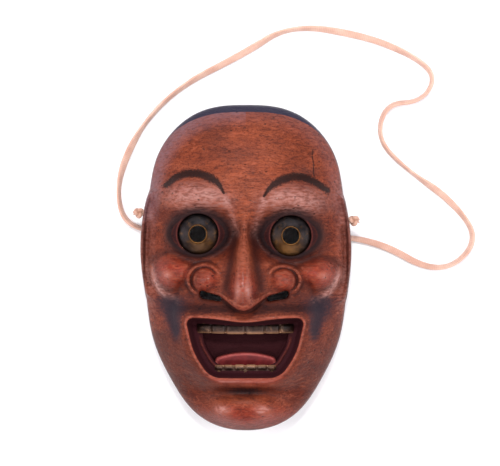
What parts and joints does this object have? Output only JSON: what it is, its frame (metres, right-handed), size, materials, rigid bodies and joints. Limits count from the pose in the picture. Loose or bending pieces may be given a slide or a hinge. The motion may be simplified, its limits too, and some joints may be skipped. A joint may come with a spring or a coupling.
{
  "type": "noh mask",
  "caption": "Carved wooden noh mask with dished metal eyes, gilt teeth in an open mouth and a cord led through the ears.",
  "frame": {"origin": "middle of the mask's outline, on the plane that the back rim stands on, with the cord left out", "axes": "+Z out of the face, +Y to the crown, +X to the viewer's right"},
  "size_m": [0.2347, 0.2636, 0.0769],
  "materials": {
    "carved_wood": "worn red-brown lacquer over wood, satin",
    "eye_metal": "darkened gilt",
    "nail_metal": "darkened",
    "teeth_gilt": "worn gilt",
    "tongue_lacquer": "red lacquer",
    "cord_fibre": "undyed flat cord"
  },
  "bodies": {
    "root": {"mask_shell": "carved_wood", "eye_left": "eye_metal", "eye_right": "eye_metal", "eye_pins_left": "nail_metal", "eye_pins_right": "nail_metal", "upper_teeth": "teeth_gilt", "lower_teeth": "teeth_gilt", "teeth_pins_upper": "nail_metal", "teeth_pins_lower": "nail_metal", "tongue": "tongue_lacquer", "cord": "cord_fibre", "knot_left": "cord_fibre", "knot_right": "cord_fibre"}
  },
  "joints": []
}
